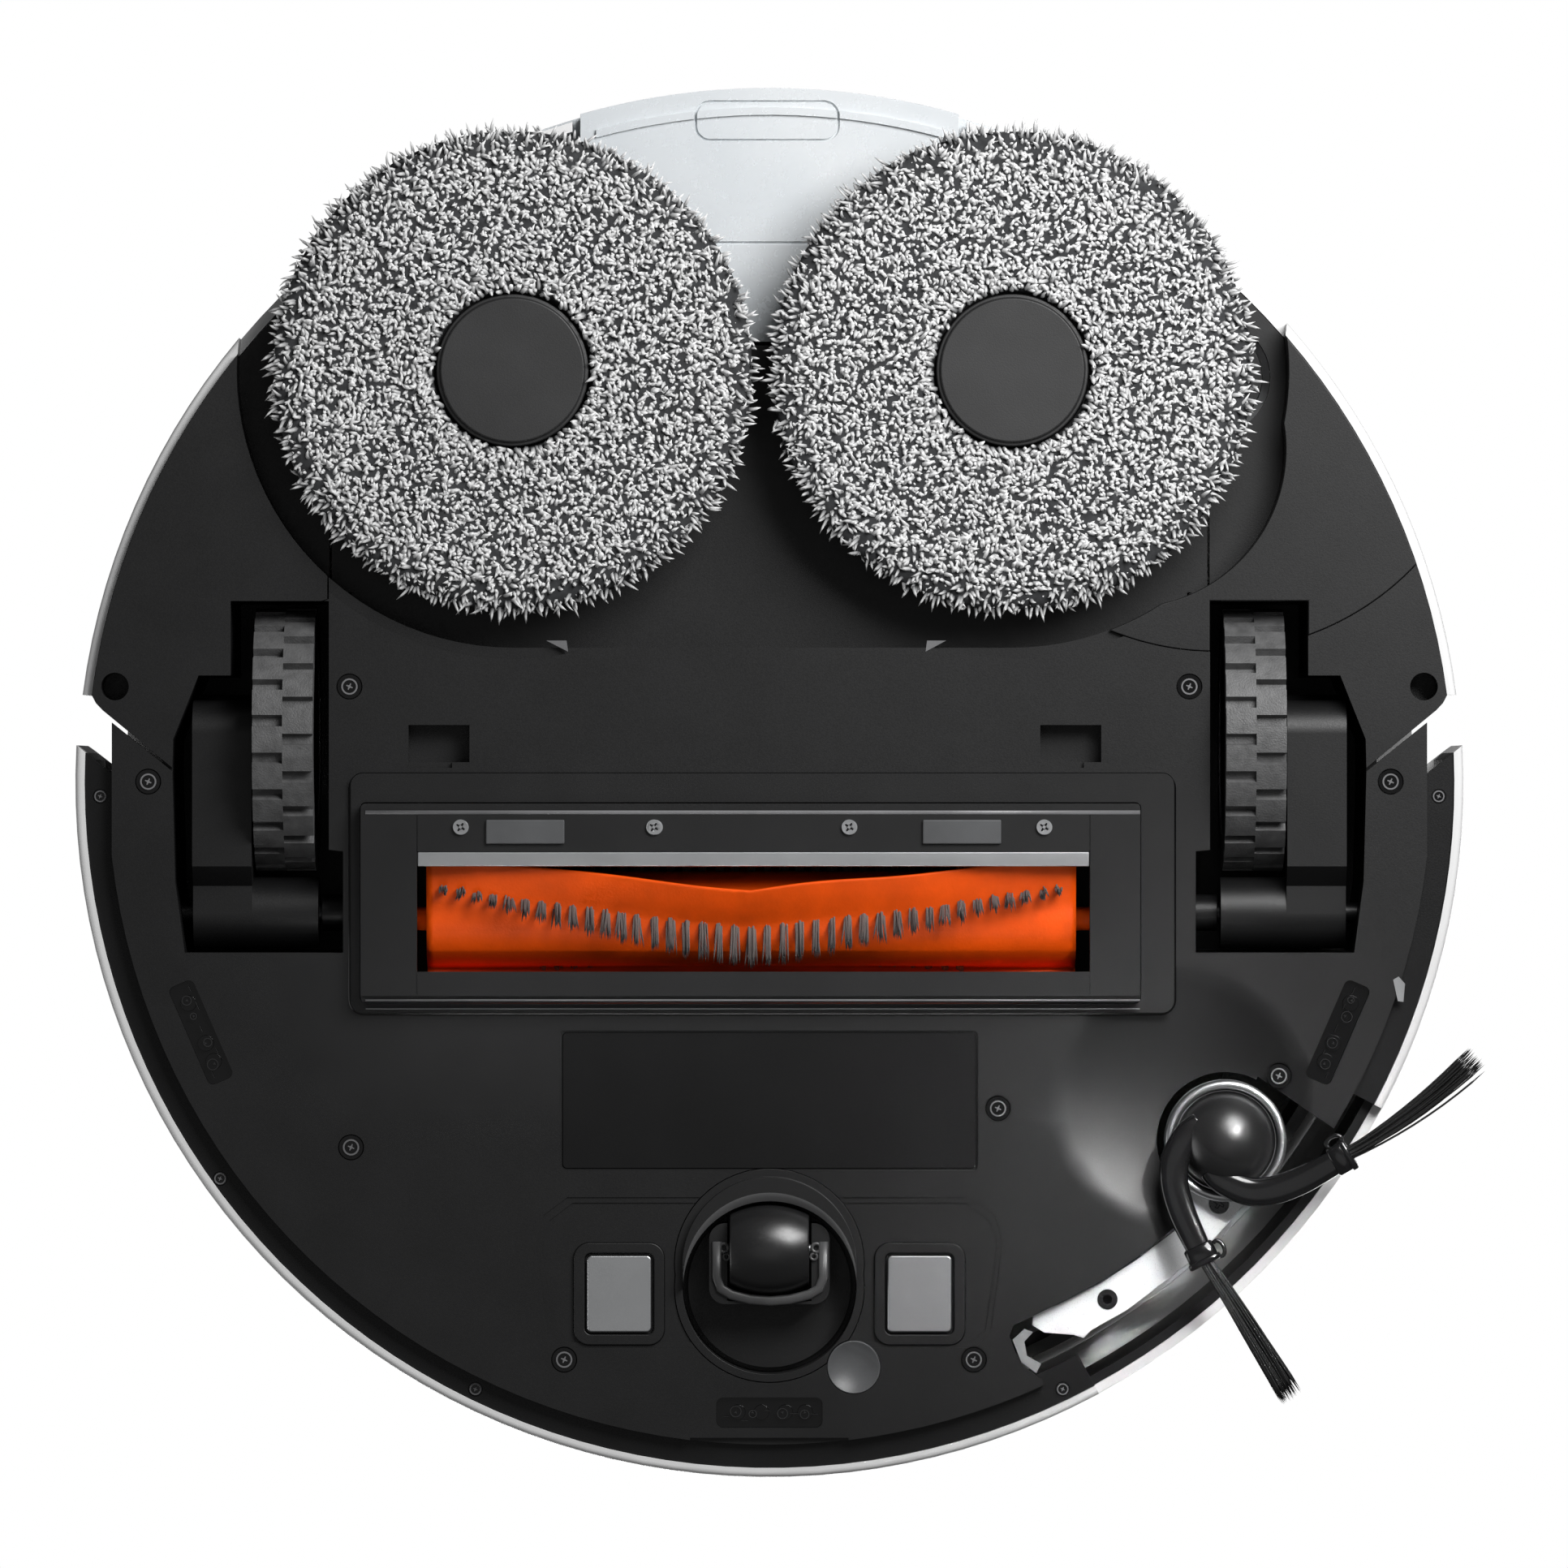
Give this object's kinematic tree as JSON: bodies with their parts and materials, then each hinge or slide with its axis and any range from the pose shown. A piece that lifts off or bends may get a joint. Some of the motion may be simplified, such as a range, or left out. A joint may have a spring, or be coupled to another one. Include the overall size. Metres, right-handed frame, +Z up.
{
  "type": "robotic floor cleaner",
  "caption": "Round robotic floor cleaner with spinning mop pads that lift, a main roller brush, a swing-out side brush, sprung drive wheels, a caster, a bumper and a rear tank.",
  "frame": {"origin": "on the floor under the round body, on its middle axis; the side brush reaches past the body on the right, so the box middle lies a little to the right", "axes": "+X to the right of the machine, +Y to its front (the bumper), +Z up"},
  "size_m": [0.3532, 0.3518, 0.104],
  "materials": {
    "charcoal": "satin moulded, faint grain",
    "white_shell": "gloss",
    "dark_plastic": "semi-gloss moulded",
    "black_gloss": "polished, infrared-clear",
    "grey_plastic": "satin",
    "tank": "milky translucent",
    "tyre": "grained rubber",
    "steel": "satin",
    "black_steel": "black oxide",
    "lever": "pale satin",
    "orange_rubber": "soft satin",
    "bristle": "nylon filament",
    "mop_cloth": "chenille microfibre"
  },
  "bodies": {
    "chassis": {"base_front": "charcoal", "base_rear": "charcoal", "right_arm_cover": "charcoal", "rear_shell": "white_shell", "deck": "white_shell", "turret_base": "dark_plastic", "turret_cap": "white_shell", "well_liners": "dark_plastic", "caster_socket": "charcoal", "brush_bay": "charcoal", "brush_guard": "charcoal", "scraper_strip": "steel", "guard_screws": "steel", "brush_motor": "grey_plastic", "lever_bracket": "dark_plastic", "contact_frames": "dark_plastic", "charging_contacts": "steel", "carpet_sensor": "grey_plastic", "cliff_sensors": "black_gloss", "base_screws": "black_steel", "left_mop_gearbox": "dark_plastic", "arm_pivot": "steel", "dust_bin": "dark_plastic", "battery": "dark_plastic", "suction_fan": "dark_plastic"},
    "lid": {"top_lid": "white_shell"},
    "power_key": {"power_button": "grey_plastic"},
    "home_key": {"home_button": "grey_plastic"},
    "laser": {"laser_rotor": "dark_plastic"},
    "tank": {"rear_tank": "tank"},
    "bumper": {"bumper_skin": "white_shell", "bumper_carrier": "dark_plastic", "bumper_screws": "steel", "bumper_window": "black_gloss"},
    "left_drive": {"left_gearbox": "charcoal"},
    "left_wheel": {"left_hub": "dark_plastic", "left_tyre": "tyre"},
    "right_drive": {"right_gearbox": "charcoal"},
    "right_wheel": {"right_hub": "dark_plastic", "right_tyre": "tyre"},
    "caster": {"caster_fork": "charcoal", "caster_axle": "steel"},
    "caster_roller": {"caster_wheel": "dark_plastic"},
    "main_brush": {"brush_roller": "orange_rubber", "brush_tufts": "bristle"},
    "left_latch_key": {"left_latch": "grey_plastic"},
    "right_latch_key": {"right_latch": "grey_plastic"},
    "brush_lever": {"side_lever": "lever", "lever_screw": "steel", "side_ring": "steel"},
    "side_brush": {"side_hub": "dark_plastic", "side_arms": "dark_plastic", "side_bristles": "bristle"},
    "left_lift": {"left_mop_carriage": "steel"},
    "left_mop": {"left_mop_plate": "charcoal", "left_mop_pad": "mop_cloth"},
    "mop_arm": {"right_mop_arm": "charcoal"},
    "right_lift": {"right_mop_carriage": "steel"},
    "right_mop": {"right_mop_plate": "charcoal", "right_mop_pad": "mop_cloth"}
  },
  "joints": [
    {"name": "lid_lift", "type": "slide", "parent": "chassis", "child": "lid", "axis": [0, 0, 1], "range_m": [0, 0.06]},
    {"name": "power_press", "type": "slide", "parent": "chassis", "child": "power_key", "axis": [0, 0, -1], "range_m": [0, 0.0008], "stiffness_N_per_m": 300, "springref_m": -0.001},
    {"name": "home_press", "type": "slide", "parent": "chassis", "child": "home_key", "axis": [0, 0, -1], "range_m": [0, 0.0008], "stiffness_N_per_m": 300, "springref_m": -0.001},
    {"name": "laser_spin", "type": "hinge", "parent": "chassis", "child": "laser", "pos_m": [0, -0.062, 0.09], "axis": [0, 0, 1], "continuous": true},
    {"name": "tank_slide", "type": "slide", "parent": "chassis", "child": "tank", "axis": [0, -1, 0], "range_m": [0, 0.08]},
    {"name": "bumper_press", "type": "slide", "parent": "chassis", "child": "bumper", "axis": [0, -1, 0], "range_m": [0, 0.003], "stiffness_N_per_m": 600, "springref_m": -0.002},
    {"name": "left_suspension", "type": "hinge", "parent": "chassis", "child": "left_drive", "pos_m": [-0.1226, 0.0328, 0.027], "axis": [1, 0, 0], "range_deg": [0, 20], "stiffness_Nm_per_rad": 0.4, "springref_deg": 40.11},
    {"name": "left_wheel_spin", "type": "hinge", "parent": "left_drive", "child": "left_wheel", "pos_m": [-0.1226, -0.011, 0.0335], "axis": [1, 0, 0], "continuous": true},
    {"name": "right_suspension", "type": "hinge", "parent": "chassis", "child": "right_drive", "pos_m": [0.1226, 0.0328, 0.027], "axis": [1, 0, 0], "range_deg": [0, 20], "stiffness_Nm_per_rad": 0.4, "springref_deg": 40.11},
    {"name": "right_wheel_spin", "type": "hinge", "parent": "right_drive", "child": "right_wheel", "pos_m": [0.1226, -0.011, 0.0335], "axis": [1, 0, 0], "continuous": true},
    {"name": "caster_swivel", "type": "hinge", "parent": "chassis", "child": "caster", "pos_m": [0, 0.1273, 0.0125], "axis": [0, 0, 1], "continuous": true},
    {"name": "caster_roll", "type": "hinge", "parent": "caster", "child": "caster_roller", "pos_m": [0, 0.1176, 0.0115], "axis": [1, 0, 0], "continuous": true},
    {"name": "main_brush_spin", "type": "hinge", "parent": "chassis", "child": "main_brush", "pos_m": [0, 0.0343, 0.0236], "axis": [1, 0, 0], "continuous": true},
    {"name": "left_latch_slide", "type": "slide", "parent": "chassis", "child": "left_latch_key", "axis": [0, 1, 0], "range_m": [0, 0.0015], "stiffness_N_per_m": 200, "springref_m": -0.001},
    {"name": "right_latch_slide", "type": "slide", "parent": "chassis", "child": "right_latch_key", "axis": [0, 1, 0], "range_m": [0, 0.0015], "stiffness_N_per_m": 200, "springref_m": -0.001},
    {"name": "side_brush_swing", "type": "hinge", "parent": "chassis", "child": "brush_lever", "pos_m": [0.0854, 0.1304, 0.0155], "axis": [0, 0, 1], "range_deg": [0, 18]},
    {"name": "side_brush_spin", "type": "hinge", "parent": "brush_lever", "child": "side_brush", "pos_m": [0.1152, 0.0903, 0.01], "axis": [0, 0, 1], "continuous": true},
    {"name": "left_mop_lift", "type": "slide", "parent": "chassis", "child": "left_lift", "axis": [0, 0, 1], "range_m": [0, 0.01]},
    {"name": "left_mop_spin", "type": "hinge", "parent": "left_lift", "child": "left_mop", "pos_m": [-0.0647, -0.104, 0.01], "axis": [0, 0, 1], "continuous": true},
    {"name": "right_mop_swing", "type": "hinge", "parent": "chassis", "child": "mop_arm", "pos_m": [0.1125, -0.1029, 0.033], "axis": [0, 0, 1], "range_deg": [0, 25]},
    {"name": "right_mop_lift", "type": "slide", "parent": "mop_arm", "child": "right_lift", "axis": [0, 0, 1], "range_m": [0, 0.01]},
    {"name": "right_mop_spin", "type": "hinge", "parent": "right_lift", "child": "right_mop", "pos_m": [0.0612, -0.104, 0.01], "axis": [0, 0, 1], "continuous": true}
  ]
}
